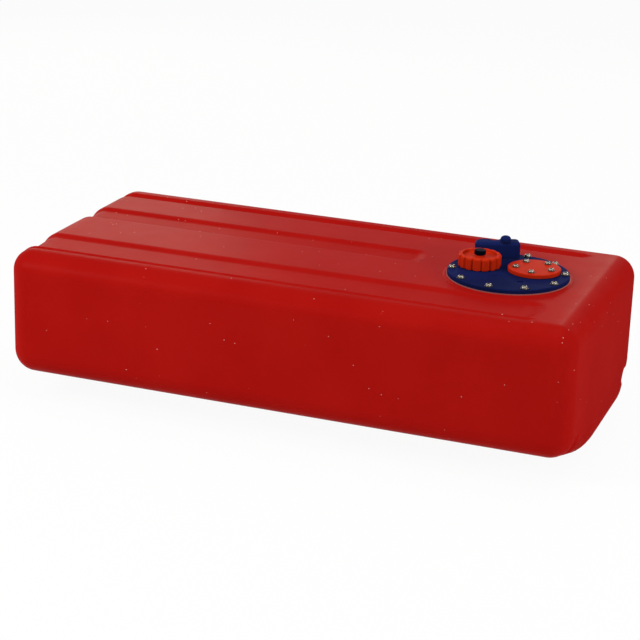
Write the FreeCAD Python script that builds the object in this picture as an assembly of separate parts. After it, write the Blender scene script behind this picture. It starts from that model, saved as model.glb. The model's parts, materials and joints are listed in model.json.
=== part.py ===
import FreeCAD, Part
import math
import os

# Outboard fuel tank: a long, low, hollow moulded tank with a hull shaped bottom,
# and a round flange on its top that carries the filler cap, a blanked sender hole
# and the fuel outlet housing with its pick-up tube.
# Millimetres. +X runs along the tank towards the flange, +Y to the back, +Z up.
# The origin is on the floor under the middle of the tank.

os.makedirs("parts", exist_ok=True)

Vector = FreeCAD.Vector
UP = Vector(0, 0, 1)
ALONG = Vector(1, 0, 0)

# Tank body
TANK_LENGTH = 870.0
TANK_WIDTH = 420.0
TANK_HEIGHT = 234.0
WALL = 5.0
EDGE_RADIUS = 33.0
CORNER_MARGIN = 1.0
FRONT_CHINE_HEIGHT = 47.5
BACK_CHINE_HEIGHT = 56.0
KEEL_FROM_FRONT = 150.0
KEEL_FROM_BACK = 48.0
FRONT_CHINE_RADIUS = 38.0
BACK_CHINE_RADIUS = 45.0
KEEL_FRONT_RADIUS = 300.0
KEEL_BACK_RADIUS = 60.0

# Stiffening grooves along the top, each with a steep front and a long back slope
GROOVE_DEPTH = 6.0
GROOVE_STEEP_RUN = 6.0
GROOVE_WRAP_RADIUS = 40.0
GROOVE_RUNOUT_RADIUS = 70.0
FRONT_GROOVE_FROM_FRONT = 48.0
FRONT_GROOVE_SLOPE = 70.0
FRONT_GROOVE_FROM_END = 85.0
MIDDLE_GROOVE_VALLEY = 16.0
MIDDLE_GROOVE_SLOPE = 56.0
MIDDLE_GROOVE_FROM_END = 312.0
BACK_GROOVE_FROM_BACK = 60.0
BACK_GROOVE_SLOPE = 18.0
BACK_GROOVE_FROM_END = 84.0

# Round grooves along the bottom edges, wrapping up on to both ends
FRONT_RUNNER_ALONG_SLOPE = 52.0
FRONT_RUNNER_RADIUS = 15.0
FRONT_RUNNER_DEPTH = 6.0
BACK_RUNNER_RADIUS = 26.0
BACK_RUNNER_DEPTH = 8.0
RUNNER_WRAP_RADIUS = 46.0

# Flange opening in the tank
FLANGE_FROM_END = 152.0
OPENING_RADIUS = 74.5
BOSS_FOOT_RADIUS = 100.0
BOSS_TOP_RADIUS = 91.5
BOSS_RISE = 1.2
COLLAR_DEPTH = 15.0
COLLAR_RADIUS = 92.0

# Flange plate and its screws
PLATE_RADIUS = 90.0
PLATE_THICKNESS = 6.0
PLATE_EDGE = 1.8
FLANGE_GASKET_THICKNESS = 1.5
FLANGE_GASKET_LIP = 0.8
FLANGE_SCREW_COUNT = 10
FLANGE_SCREW_CIRCLE = 83.0
FLANGE_SCREW_START = 13.3
FLANGE_SCREW_RADIUS = 2.5
FLANGE_SCREW_LENGTH = 18.0
FLANGE_HEAD_RADIUS = 4.8
FLANGE_HEAD_HEIGHT = 3.2
FLANGE_WASHER_RADIUS = 6.0
FLANGE_WASHER_THICKNESS = 1.1
PLATE_DIMPLES = [(29.0, -42.5, 5.0, 1.2), (-12.5, -30.7, 4.0, 0.5)]
FLANGE_INSERT_RADIUS = 4.5
FLANGE_INSERT_LENGTH = 11.0

# Sender hole, its blank cover and screws
SENDER_X = 34.4
SENDER_Y = 16.3
SENDER_HOLE_RADIUS = 22.0
SENDER_COVER_RADIUS = 39.0
SENDER_COVER_THICKNESS = 5.5
SENDER_COVER_EDGE = 1.6
SENDER_GASKET_THICKNESS = 1.0
SENDER_SCREW_COUNT = 5
SENDER_SCREW_CIRCLE = 27.5
SENDER_SCREW_START = 203.0
SENDER_SCREW_RADIUS = 2.0
SENDER_SCREW_LENGTH = 11.0
SENDER_HEAD_RADIUS = 4.3
SENDER_HEAD_HEIGHT = 2.8
SENDER_WASHER_RADIUS = 5.2
SENDER_WASHER_THICKNESS = 1.0
SENDER_INSERT_RADIUS = 3.4
SENDER_INSERT_LENGTH = 4.6

# Filler neck and cap
FILLER_X = -46.6
FILLER_Y = 7.4
NECK_BORE = 20.0
NECK_RADIUS = 24.5
NECK_HEIGHT = 8.0
CAP_RADIUS = 31.7
CAP_CEILING = 4.0
CAP_DISH_RADIUS = 25.5
CAP_DISH_DEPTH = 4.0
CAP_HUB_RISE = 2.4
CAP_GASKET_THICKNESS = 2.7
CAP_GASKET_LIP = 0.6
CAP_THREAD_SPACE = 1.2
CAP_SKIRT_GAP = 0.8
CAP_RIB_COUNT = 15
CAP_RIB_START = 290.0
CAP_SCALLOP_RADIUS = 2.0
CAP_SCALLOP_DEPTH = 1.8
CAP_TOP_EDGE = 3.0

# Vent screw in the cap
VENT_SHANK_RADIUS = 3.0
VENT_KNOB_RADIUS = 8.7
VENT_KNOB_HEIGHT = 6.6
VENT_KNOB_EDGE = 1.2
VENT_SEAL_RADIUS = 6.2
VENT_SEAL_THICKNESS = 1.0
VENT_BOSS_RADIUS = 6.5
VENT_BOSS_DEPTH = 3.0
VENT_TRAVEL = 2.4
VENT_CLIP_RADIUS = 4.8
VENT_CLIP_THICKNESS = 0.8
VENT_CLIP_GROOVE = 0.7
VENT_CLIP_MOUTH = 2.6
VENT_TIP = 0.8

# Outlet housing, turned a little about the vertical
HOUSING_TURN = 24.0
HOUSING_FRONT = 59.8
HOUSING_DEPTH = 25.4
HOUSING_LEFT = -41.0
HOUSING_RIGHT = 26.6
HOUSING_HEIGHT = 25.2
HOUSING_CORNER = 14.0
HOUSING_FRONT_CORNER = 6.0
HOUSING_TOP_EDGE = 5.0
HOUSING_GASKET_THICKNESS = 1.0
HOUSING_RELIEF_RADIUS = 8.0
OUTLET_ACROSS = 4.0
OUTLET_BACK = 6.4
OUTLET_BORE = 3.0
OUTLET_HEIGHT = 11.0
HOUSING_SCREW_LEFT = -26.0
HOUSING_SCREW_RIGHT = 17.0
HOUSING_SCREW_BACK = 5.2
HOUSING_SCREW_RADIUS = 1.75
HOUSING_SCREW_LENGTH = 15.0
HOUSING_HEAD_RADIUS = 3.2
HOUSING_HEAD_HEIGHT = 2.4
PLUG_RADIUS = 8.0
PLUG_HEIGHT = 9.2
PLUG_STEM_RADIUS = 5.0
PLUG_STEM_LENGTH = 6.0
PLUG_SEAL_THICKNESS = 1.0

# Hose spigot at the back of the housing
SPIGOT_RADIUS = 4.2
SPIGOT_BORE = 2.6
SPIGOT_LENGTH = 22.0
SPIGOT_COLLAR_RADIUS = 6.5
SPIGOT_COLLAR_LENGTH = 3.0
SPIGOT_ROOT_RADIUS = 5.0
SPIGOT_ROOT_LENGTH = 7.0
SPIGOT_TIP_EDGE = 0.8

# Pick-up tube and strainer
TUBE_RADIUS = 4.0
TUBE_BORE = 2.8
TUBE_SOCKET_RADIUS = 6.2
TUBE_SOCKET_DEPTH = 12.0
TUBE_ENGAGEMENT = 10.0
STRAINER_RADIUS = 7.0
STRAINER_LENGTH = 30.0
STRAINER_WALL = 1.0
STRAINER_FLOOR_GAP = 3.0
STRAINER_ROWS = 5
STRAINER_SLOTS = 6
STRAINER_SLOT_WIDTH = 2.2
STRAINER_SLOT_HEIGHT = 2.6
STRAINER_SOCKET = 8.0

# Clearances
SCREW_CLEARANCE = 0.4
THREAD_CLEARANCE = 0.05
RUNNING_CLEARANCE = 0.05
HEX_FLAT_SHARE = 0.45
HEX_DEPTH_SHARE = 0.55
HEAD_DOME_SHARE = 0.8
WASHER_EDGE_SHARE = 0.25
PLUG_DOME_SHARE = 0.45

# How far a cutting tool passes the face that it leaves through
BEYOND = 1.0

# Heights and places that follow from the sizes above
BOSS_TOP = TANK_HEIGHT + BOSS_RISE
PLATE_BOTTOM = BOSS_TOP + FLANGE_GASKET_THICKNESS
PLATE_TOP = PLATE_BOTTOM + PLATE_THICKNESS
FLANGE_CENTRE = Vector(TANK_LENGTH / 2 - FLANGE_FROM_END, 0, 0)
FILLER = FLANGE_CENTRE + Vector(FILLER_X, FILLER_Y, 0)
SENDER = FLANGE_CENTRE + Vector(SENDER_X, SENDER_Y, 0)
SENDER_SEAT = PLATE_TOP + SENDER_GASKET_THICKNESS
NECK_TOP = PLATE_TOP + NECK_HEIGHT
CAP_UNDERSIDE = NECK_TOP + CAP_GASKET_THICKNESS
CAP_FLOOR = CAP_UNDERSIDE + CAP_CEILING
CAP_TOP = CAP_FLOOR + CAP_DISH_DEPTH
CAP_HUB_TOP = CAP_FLOOR + CAP_HUB_RISE
CAP_BORE = NECK_RADIUS + CAP_THREAD_SPACE
KNOB_SEAT = CAP_HUB_TOP + VENT_SEAL_THICKNESS
HOUSING_SEAT = PLATE_TOP + HOUSING_GASKET_THICKNESS
HOUSING_TOP = PLATE_TOP + HOUSING_HEIGHT
SPIGOT_LEVEL = PLATE_TOP + OUTLET_HEIGHT
LOWEST_INSIDE = WALL


def polar(radius, degrees):
    """A point on a circle round the origin, in the horizontal plane."""
    angle = math.radians(degrees)
    return Vector(radius * math.cos(angle), radius * math.sin(angle), 0)


def level(point, height):
    """The same plan position at another height."""
    return Vector(point.x, point.y, height)


def disc(radius, bottom, top, centre):
    """An upright solid cylinder between two heights."""
    return Part.makeCylinder(radius, top - bottom, level(centre, bottom), UP)


def ring(outer, inner, bottom, top, centre):
    """An upright tube between two heights."""
    return disc(outer, bottom, top, centre).cut(disc(inner, bottom - BEYOND, top + BEYOND, centre))


def joined(pieces):
    """Fuse a list of solids into one and drop the seams between flush faces."""
    result = pieces[0]
    for piece in pieces[1:]:
        result = result.fuse(piece)
    return result.removeSplitter()


def cut_all(shape, tools):
    """Cut each tool out of a shape."""
    for tool in tools:
        shape = shape.cut(tool)
    return shape


def on_circle(count, radius, start, centre):
    """Evenly spaced points on a circle."""
    return [centre + polar(radius, start + 360.0 * i / count) for i in range(count)]


FLANGE_SCREW_PLACES = on_circle(
    FLANGE_SCREW_COUNT, FLANGE_SCREW_CIRCLE, FLANGE_SCREW_START, FLANGE_CENTRE)
SENDER_SCREW_PLACES = on_circle(
    SENDER_SCREW_COUNT, SENDER_SCREW_CIRCLE, SENDER_SCREW_START, SENDER)


def housing_point(across, away, height=0.0):
    """A place beside the flange centre: across and away from it along the turned housing."""
    turn = math.radians(HOUSING_TURN)
    right = Vector(math.cos(turn), math.sin(turn), 0)
    back = Vector(-math.sin(turn), math.cos(turn), 0)
    return level(FLANGE_CENTRE + right * across + back * away, height)


OUTLET = housing_point(OUTLET_ACROSS, HOUSING_FRONT + OUTLET_BACK)
HOUSING_SCREW_PLACES = [
    housing_point(HOUSING_SCREW_LEFT, HOUSING_FRONT + HOUSING_SCREW_BACK),
    housing_point(HOUSING_SCREW_RIGHT, HOUSING_FRONT + HOUSING_SCREW_BACK)]
OUTWARD = housing_point(0, 1) - FLANGE_CENTRE


def rounded_wire(corners, radii):
    """A closed wire of lines and arcs through rounded corners."""
    starts = []
    arcs = []
    count = len(corners)
    for i in range(count):
        corner = corners[i]
        back = (corners[i - 1] - corner).normalize()
        ahead = (corners[(i + 1) % count] - corner).normalize()
        half = back.getAngle(ahead) / 2
        reach = radii[i] / math.tan(half)
        middle = (back + ahead).normalize()
        bulge = radii[i] / math.sin(half) - radii[i]
        first = corner + back * reach
        last = corner + ahead * reach
        arcs.append(Part.Arc(first, corner + middle * bulge, last).toShape())
        starts.append((first, last))
    edges = []
    for i in range(count):
        edges.append(arcs[i])
        edges.append(Part.makeLine(starts[i][1], starts[(i + 1) % count][0]))
    return Part.Wire(edges)


def inset_corners(corners, inset):
    """Move each side of a polygon inwards and return the new corners."""
    count = len(corners)
    result = []
    for i in range(count):
        corner = corners[i]
        back = (corners[i - 1] - corner).normalize()
        ahead = (corners[(i + 1) % count] - corner).normalize()
        half = back.getAngle(ahead) / 2
        middle = (back + ahead).normalize()
        result.append(corner + middle * (inset / math.sin(half)))
    return result


def section_corners():
    """The cross section of the tank: upright sides, hull shaped bottom, flat keel."""
    half = TANK_WIDTH / 2
    return [
        Vector(0, -half, TANK_HEIGHT),
        Vector(0, -half, FRONT_CHINE_HEIGHT),
        Vector(0, -half + KEEL_FROM_FRONT, 0),
        Vector(0, half - KEEL_FROM_BACK, 0),
        Vector(0, half, BACK_CHINE_HEIGHT),
        Vector(0, half, TANK_HEIGHT)]


def section_radii(inset):
    """The corner radii of that section, never tighter than the rounding of the ends."""
    smallest = EDGE_RADIUS + CORNER_MARGIN
    wanted = [smallest, FRONT_CHINE_RADIUS, KEEL_FRONT_RADIUS,
              KEEL_BACK_RADIUS, BACK_CHINE_RADIUS, smallest]
    return [max(radius, smallest) - inset for radius in wanted]


def plain_form(inset):
    """The tank without grooves: the section carried along X, its ends rounded over."""
    corners = inset_corners(section_corners(), inset)
    outline = rounded_wire(corners, section_radii(inset))
    start = TANK_LENGTH / 2 - inset
    outline.translate(Vector(-start, 0, 0))
    solid = Part.Face(outline).extrude(ALONG * (2 * start))
    ends = []
    for edge in solid.Edges:
        xs = [vertex.X for vertex in edge.Vertexes]
        if max(xs) - min(xs) < 1e-6:
            ends.append(edge)
    return solid.makeFillet(EDGE_RADIUS - inset, ends)


def top_groove(valley_y, slope, from_end, inset):
    """A long top groove: it rolls over the left end and runs out near the right end."""
    floor = TANK_HEIGHT - GROOVE_DEPTH - inset
    lip = TANK_HEIGHT - inset
    over = lip + GROOVE_WRAP_RADIUS / 2
    shift = inset * math.tan(math.atan2(GROOVE_DEPTH, GROOVE_STEEP_RUN) / 2)
    bottom_y = valley_y - shift
    front_y = bottom_y - GROOVE_STEEP_RUN
    back_y = bottom_y + slope + shift
    left_x = -TANK_LENGTH / 2 + GROOVE_WRAP_RADIUS
    right_x = TANK_LENGTH / 2 - from_end
    points = [Vector(left_x, front_y, over), Vector(left_x, front_y, lip),
              Vector(left_x, bottom_y, floor), Vector(left_x, back_y, lip),
              Vector(left_x, back_y, over), Vector(left_x, front_y, over)]
    face = Part.Face(Part.makePolygon(points))
    straight = face.extrude(ALONG * (right_x - left_x))
    wrap_axis = Vector(left_x, 0, TANK_HEIGHT - GROOVE_DEPTH - GROOVE_WRAP_RADIUS)
    wrap = face.revolve(wrap_axis, Vector(0, -1, 0), 90)
    far_face = face.copy()
    far_face.translate(ALONG * (right_x - left_x))
    rise = GROOVE_RUNOUT_RADIUS + inset
    runout_axis = Vector(right_x, 0, TANK_HEIGHT - GROOVE_DEPTH + GROOVE_RUNOUT_RADIUS)
    turn = math.degrees(math.acos(1 - (GROOVE_DEPTH + BEYOND) / rise))
    runout = far_face.revolve(runout_axis, Vector(0, -1, 0), turn)
    return [straight, wrap, runout]


def bottom_runner(on_edge, outward, radius, depth, inset):
    """A round groove along the bottom that rolls up on to both ends and fades there."""
    size = radius + inset
    half = TANK_LENGTH / 2 - RUNNER_WRAP_RADIUS
    centre = on_edge + outward * (radius - depth)
    straight = Part.makeCylinder(size, 2 * half, centre + ALONG * (-half), ALONG)
    tools = [straight]
    across = outward.cross(ALONG)
    for side in (-1, 1):
        at_end = centre + ALONG * (side * half)
        circle = Part.makeCircle(size, at_end, ALONG)
        face = Part.Face(Part.Wire([circle]))
        axis_point = at_end - outward * (RUNNER_WRAP_RADIUS + radius)
        tools.append(face.revolve(axis_point, across * side, 90))
    return tools


def groove_tools(inset):
    """Every groove of the tank, for its outside or for its inside."""
    tools = []
    front_y = -TANK_WIDTH / 2 + FRONT_GROOVE_FROM_FRONT
    back_y = TANK_WIDTH / 2 - BACK_GROOVE_FROM_BACK
    tools += top_groove(front_y, FRONT_GROOVE_SLOPE, FRONT_GROOVE_FROM_END, inset)
    tools += top_groove(MIDDLE_GROOVE_VALLEY, MIDDLE_GROOVE_SLOPE, MIDDLE_GROOVE_FROM_END, inset)
    tools += top_groove(back_y, BACK_GROOVE_SLOPE, BACK_GROOVE_FROM_END, inset)
    corners = section_corners()
    down_slope = (corners[2] - corners[1]).normalize()
    front_place = corners[1] + down_slope * FRONT_RUNNER_ALONG_SLOPE
    front_out = down_slope.cross(ALONG)
    up_slope = (corners[4] - corners[3]).normalize()
    back_place = (corners[3] + corners[4]) * 0.5
    back_out = up_slope.cross(ALONG)
    tools += bottom_runner(front_place, front_out, FRONT_RUNNER_RADIUS, FRONT_RUNNER_DEPTH, inset)
    tools += bottom_runner(back_place, back_out, BACK_RUNNER_RADIUS, BACK_RUNNER_DEPTH, inset)
    return tools


def tank_form(inset):
    """The grooved tank shape, moved inwards by the inset."""
    return cut_all(plain_form(inset), groove_tools(inset))


def tank_shell():
    """The hollow tank with its flange boss, screw pockets and opening."""
    shell = tank_form(0).cut(tank_form(WALL))
    foot = disc(BOSS_FOOT_RADIUS, TANK_HEIGHT - WALL, TANK_HEIGHT, FLANGE_CENTRE)
    boss = Part.makeCone(BOSS_FOOT_RADIUS, BOSS_TOP_RADIUS, BOSS_RISE,
                         level(FLANGE_CENTRE, TANK_HEIGHT), UP)
    collar = disc(COLLAR_RADIUS, TANK_HEIGHT - COLLAR_DEPTH, TANK_HEIGHT, FLANGE_CENTRE)
    shell = joined([shell, foot, boss, collar])
    shell = shell.cut(disc(OPENING_RADIUS, TANK_HEIGHT / 2, BOSS_TOP + BEYOND, FLANGE_CENTRE))
    pockets = [disc(FLANGE_INSERT_RADIUS, BOSS_TOP - FLANGE_INSERT_LENGTH, BOSS_TOP + BEYOND, place)
               for place in FLANGE_SCREW_PLACES]
    return cut_all(shell, pockets)


def inserts(places, radius, length, bore, top):
    """Threaded metal inserts, flush with the seat."""
    return [ring(radius, bore + THREAD_CLEARANCE, top - length, top, place)
            for place in places]


def screw(place, seat, shank, length, head_radius, head_height):
    """A button head screw with a hexagon socket, its head standing on the seat."""
    head = disc(head_radius, seat, seat + head_height, place)
    rim = [edge for edge in head.Edges
           if edge.BoundBox.ZMin > seat + head_height / 2 and edge.Length > head_radius]
    head = head.makeFillet(head_height * HEAD_DOME_SHARE, rim)
    body = head.fuse(disc(shank, seat - length, seat, place))
    depth = head_height * HEX_DEPTH_SHARE
    flat = head_radius * HEX_FLAT_SHARE
    corners = [level(place + polar(flat, 60 * i), seat + head_height - depth)
               for i in range(6)]
    socket = Part.Face(Part.makePolygon(corners + [corners[0]])).extrude(UP * (depth + BEYOND))
    return body.cut(socket)


def washer(place, seat, radius, thickness, hole):
    """A flat washer with a softened rim."""
    plain = disc(radius, seat, seat + thickness, place)
    rims = [edge for edge in plain.Edges if edge.BoundBox.ZLength < 1e-6]
    softened = plain.makeChamfer(thickness * WASHER_EDGE_SHARE, rims)
    return softened.cut(disc(hole, seat - BEYOND, seat + thickness + BEYOND, place))


def flange_gasket():
    """The ring seal between the tank's boss and the flange plate."""
    seal = ring(PLATE_RADIUS + FLANGE_GASKET_LIP, OPENING_RADIUS,
                BOSS_TOP, PLATE_BOTTOM, FLANGE_CENTRE)
    holes = [disc(FLANGE_SCREW_RADIUS + SCREW_CLEARANCE, BOSS_TOP - BEYOND, PLATE_BOTTOM + BEYOND, place)
             for place in FLANGE_SCREW_PLACES]
    return cut_all(seal, holes)


def flange_plate():
    """The round plate with its filler neck, sender hole and pick-up socket."""
    plate = disc(PLATE_RADIUS, PLATE_BOTTOM, PLATE_TOP, FLANGE_CENTRE)
    plate = plate.makeFillet(PLATE_EDGE, plain_top_edges(plate, PLATE_TOP))
    neck = disc(NECK_RADIUS, PLATE_BOTTOM, NECK_TOP, FILLER)
    socket = disc(TUBE_SOCKET_RADIUS, PLATE_BOTTOM - TUBE_SOCKET_DEPTH, PLATE_TOP, OUTLET)
    plate = joined([plate, neck, socket])
    tools = [
        disc(NECK_BORE, PLATE_BOTTOM - BEYOND, NECK_TOP + BEYOND, FILLER),
        disc(SENDER_HOLE_RADIUS, PLATE_BOTTOM - BEYOND, PLATE_TOP + BEYOND, SENDER),
        disc(OUTLET_BORE, PLATE_BOTTOM - BEYOND, PLATE_TOP + BEYOND, OUTLET),
        disc(TUBE_RADIUS, PLATE_BOTTOM - TUBE_SOCKET_DEPTH - BEYOND,
             PLATE_BOTTOM - TUBE_SOCKET_DEPTH + TUBE_ENGAGEMENT, OUTLET),
        disc(OUTLET_BORE, PLATE_BOTTOM - TUBE_SOCKET_DEPTH, PLATE_TOP, OUTLET)]
    for place in FLANGE_SCREW_PLACES:
        tools.append(disc(FLANGE_SCREW_RADIUS + SCREW_CLEARANCE,
                          PLATE_BOTTOM - BEYOND, PLATE_TOP + BEYOND, place))
    for place in SENDER_SCREW_PLACES:
        tools.append(disc(SENDER_INSERT_RADIUS, PLATE_TOP - SENDER_INSERT_LENGTH,
                          PLATE_TOP + BEYOND, place))
    for place in HOUSING_SCREW_PLACES:
        tools.append(disc(HOUSING_SCREW_RADIUS + SCREW_CLEARANCE,
                          PLATE_BOTTOM - BEYOND, PLATE_TOP + BEYOND, place))
    for x, y, radius, depth in PLATE_DIMPLES:
        place = FLANGE_CENTRE + Vector(x, y, 0)
        tools.append(disc(radius, PLATE_TOP - depth, PLATE_TOP + BEYOND, place))
    return cut_all(plate, tools)


def plain_top_edges(solid, height):
    """The round edges of a solid that lie at one height."""
    return [edge for edge in solid.Edges
            if abs(edge.BoundBox.ZMin - height) < 1e-6
            and edge.BoundBox.ZLength < 1e-6 and not edge.isSeam(solid.Faces[0])]


def sender_cover():
    """The blank cover over the sender hole, with a softened top edge."""
    top = SENDER_SEAT + SENDER_COVER_THICKNESS
    cover = disc(SENDER_COVER_RADIUS, SENDER_SEAT, top, SENDER)
    cover = cover.makeFillet(SENDER_COVER_EDGE, plain_top_edges(cover, top))
    holes = [disc(SENDER_SCREW_RADIUS + SCREW_CLEARANCE, SENDER_SEAT - BEYOND, top + BEYOND, place)
             for place in SENDER_SCREW_PLACES]
    return cut_all(cover, holes)


def sender_cover_gasket():
    """The flat seal under the sender cover."""
    inner = SENDER_HOLE_RADIUS + SENDER_GASKET_THICKNESS
    outer = SENDER_COVER_RADIUS - SENDER_GASKET_THICKNESS
    seal = ring(outer, inner, PLATE_TOP, SENDER_SEAT, SENDER)
    holes = [disc(SENDER_SCREW_RADIUS + SCREW_CLEARANCE, PLATE_TOP - BEYOND, SENDER_SEAT + BEYOND, place)
             for place in SENDER_SCREW_PLACES]
    return cut_all(seal, holes)


def filler_cap():
    """The ribbed screw cap: skirt, dished top and the hub that guides the vent screw."""
    bottom = PLATE_TOP + CAP_SKIRT_GAP
    cap = disc(CAP_RADIUS, bottom, CAP_TOP, FILLER)
    cap = cap.makeFillet(CAP_TOP_EDGE, plain_top_edges(cap, CAP_TOP))
    cap = cap.cut(disc(CAP_BORE, bottom - BEYOND, CAP_UNDERSIDE, FILLER))
    cap = cap.cut(disc(CAP_DISH_RADIUS, CAP_FLOOR, CAP_TOP + BEYOND, FILLER))
    cap = cap.fuse(disc(VENT_BOSS_RADIUS, CAP_UNDERSIDE - VENT_BOSS_DEPTH, CAP_HUB_TOP, FILLER))
    reach = CAP_RADIUS + CAP_SCALLOP_RADIUS - CAP_SCALLOP_DEPTH
    scallops = [disc(CAP_SCALLOP_RADIUS, bottom - BEYOND, CAP_TOP + BEYOND, place)
                for place in on_circle(CAP_RIB_COUNT, reach, CAP_RIB_START, FILLER)]
    bore = disc(VENT_SHANK_RADIUS + RUNNING_CLEARANCE,
                CAP_UNDERSIDE - VENT_BOSS_DEPTH - BEYOND, CAP_TOP + BEYOND, FILLER)
    return cut_all(cap, scallops + [bore])


def filler_cap_gasket():
    """The seal ring between the rim of the neck and the cap."""
    return ring(NECK_RADIUS + CAP_GASKET_LIP, NECK_BORE - CAP_GASKET_LIP,
                NECK_TOP, CAP_UNDERSIDE, FILLER)


def vent_seal():
    """The seal ring under the knob of the vent screw."""
    return ring(VENT_SEAL_RADIUS, VENT_SHANK_RADIUS + RUNNING_CLEARANCE,
                CAP_HUB_TOP, KNOB_SEAT, FILLER)


def vent_clip_top():
    """The height of the clip's upper face, one vent travel below the cap's boss."""
    return CAP_UNDERSIDE - VENT_BOSS_DEPTH - VENT_TRAVEL


def vent_screw():
    """The round knob and the shank that carries the clip."""
    top = KNOB_SEAT + VENT_KNOB_HEIGHT
    knob = disc(VENT_KNOB_RADIUS, KNOB_SEAT, top, FILLER)
    knob = knob.makeFillet(VENT_KNOB_EDGE, plain_top_edges(knob, top))
    clip_top = vent_clip_top()
    tip = clip_top - VENT_CLIP_THICKNESS - VENT_TIP
    shank = disc(VENT_SHANK_RADIUS, tip, KNOB_SEAT + BEYOND, FILLER)
    groove = ring(VENT_SHANK_RADIUS + BEYOND, VENT_SHANK_RADIUS - VENT_CLIP_GROOVE,
                  clip_top - VENT_CLIP_THICKNESS - RUNNING_CLEARANCE,
                  clip_top + RUNNING_CLEARANCE, FILLER)
    return knob.fuse(shank.cut(groove))


def vent_clip():
    """The open clip that keeps the vent screw from leaving the cap."""
    top = vent_clip_top()
    bottom = top - VENT_CLIP_THICKNESS
    inner = VENT_SHANK_RADIUS - VENT_CLIP_GROOVE
    clip = ring(VENT_CLIP_RADIUS, inner, bottom, top, FILLER)
    corner = level(FILLER - Vector(0, VENT_CLIP_MOUTH / 2, 0), bottom - BEYOND)
    mouth = Part.makeBox(VENT_CLIP_RADIUS + BEYOND, VENT_CLIP_MOUTH,
                         VENT_CLIP_THICKNESS + 2 * BEYOND, corner)
    return clip.cut(mouth)


def housing_outline(bottom):
    """The plan of the outlet housing as a closed wire."""
    back = HOUSING_FRONT + HOUSING_DEPTH
    corners = [housing_point(HOUSING_LEFT, HOUSING_FRONT, bottom),
               housing_point(HOUSING_RIGHT, HOUSING_FRONT, bottom),
               housing_point(HOUSING_RIGHT, back, bottom),
               housing_point(HOUSING_LEFT, back, bottom)]
    radii = [HOUSING_FRONT_CORNER, HOUSING_FRONT_CORNER, HOUSING_FRONT_CORNER, HOUSING_CORNER]
    return rounded_wire(corners, radii)


def housing_relief(bottom, top):
    """The space that the housing leaves round any flange screw beside or under it."""
    return [disc(HOUSING_RELIEF_RADIUS, bottom, top, place) for place in FLANGE_SCREW_PLACES]


def outlet_housing():
    """The block on the flange that joins the pick-up tube to the hose spigot."""
    height = HOUSING_TOP - HOUSING_SEAT
    block = Part.Face(housing_outline(HOUSING_SEAT)).extrude(UP * height)
    rim = [edge for edge in block.Edges
           if edge.BoundBox.ZMin > HOUSING_TOP - 1e-6]
    block = block.makeFillet(HOUSING_TOP_EDGE, rim)
    block = cut_all(block, housing_relief(HOUSING_SEAT - BEYOND, HOUSING_TOP + BEYOND))
    spigot_start = level(OUTLET, SPIGOT_LEVEL)
    tools = [
        disc(OUTLET_BORE, HOUSING_SEAT - BEYOND, HOUSING_TOP - PLUG_STEM_LENGTH, OUTLET),
        disc(PLUG_STEM_RADIUS, HOUSING_TOP - PLUG_STEM_LENGTH, HOUSING_TOP + BEYOND, OUTLET),
        Part.makeCylinder(SPIGOT_BORE, HOUSING_DEPTH, spigot_start, OUTWARD),
        Part.makeCylinder(SPIGOT_ROOT_RADIUS, HOUSING_DEPTH,
                          spigot_root_start(), OUTWARD)]
    for place in HOUSING_SCREW_PLACES:
        tools.append(disc(HOUSING_SCREW_RADIUS + THREAD_CLEARANCE, HOUSING_SEAT - BEYOND,
                          screw_reach() + BEYOND, place))
    return cut_all(block, tools)


def screw_reach():
    """The height of the tips of the screws that hold the housing from below."""
    return PLATE_BOTTOM + HOUSING_SCREW_LENGTH


def housing_gasket():
    """The seal under the outlet housing."""
    seal = Part.Face(housing_outline(PLATE_TOP)).extrude(UP * HOUSING_GASKET_THICKNESS)
    seal = cut_all(seal, housing_relief(PLATE_TOP - BEYOND, HOUSING_SEAT + BEYOND))
    holes = [disc(OUTLET_BORE, PLATE_TOP - BEYOND, HOUSING_SEAT + BEYOND, OUTLET)]
    for place in HOUSING_SCREW_PLACES:
        holes.append(disc(HOUSING_SCREW_RADIUS + SCREW_CLEARANCE, PLATE_TOP - BEYOND,
                          HOUSING_SEAT + BEYOND, place))
    return cut_all(seal, holes)


def housing_screws():
    """Two screws that hold the housing from under the flange plate."""
    result = []
    for place in HOUSING_SCREW_PLACES:
        head = disc(HOUSING_HEAD_RADIUS, PLATE_BOTTOM - HOUSING_HEAD_HEIGHT, PLATE_BOTTOM, place)
        shank = disc(HOUSING_SCREW_RADIUS, PLATE_BOTTOM, screw_reach(), place)
        result.append(head.fuse(shank))
    return result


def housing_plug():
    """The domed plug that closes the top of the outlet housing."""
    seat = HOUSING_TOP + PLUG_SEAL_THICKNESS
    head = disc(PLUG_RADIUS, seat, HOUSING_TOP + PLUG_HEIGHT, OUTLET)
    head = head.makeFillet(PLUG_RADIUS * PLUG_DOME_SHARE,
                           plain_top_edges(head, HOUSING_TOP + PLUG_HEIGHT))
    stem = disc(PLUG_STEM_RADIUS - THREAD_CLEARANCE, HOUSING_TOP - PLUG_STEM_LENGTH,
                seat, OUTLET)
    return head.fuse(stem)


def plug_seal():
    """The seal ring under the head of the plug."""
    return ring(PLUG_RADIUS - PLUG_SEAL_THICKNESS / 2, PLUG_STEM_RADIUS,
                HOUSING_TOP, HOUSING_TOP + PLUG_SEAL_THICKNESS, OUTLET)


def spigot_root_start():
    """Where the screwed root of the spigot ends inside the housing."""
    away = HOUSING_FRONT + HOUSING_DEPTH - SPIGOT_ROOT_LENGTH
    return housing_point(OUTLET_ACROSS, away, SPIGOT_LEVEL)


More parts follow.
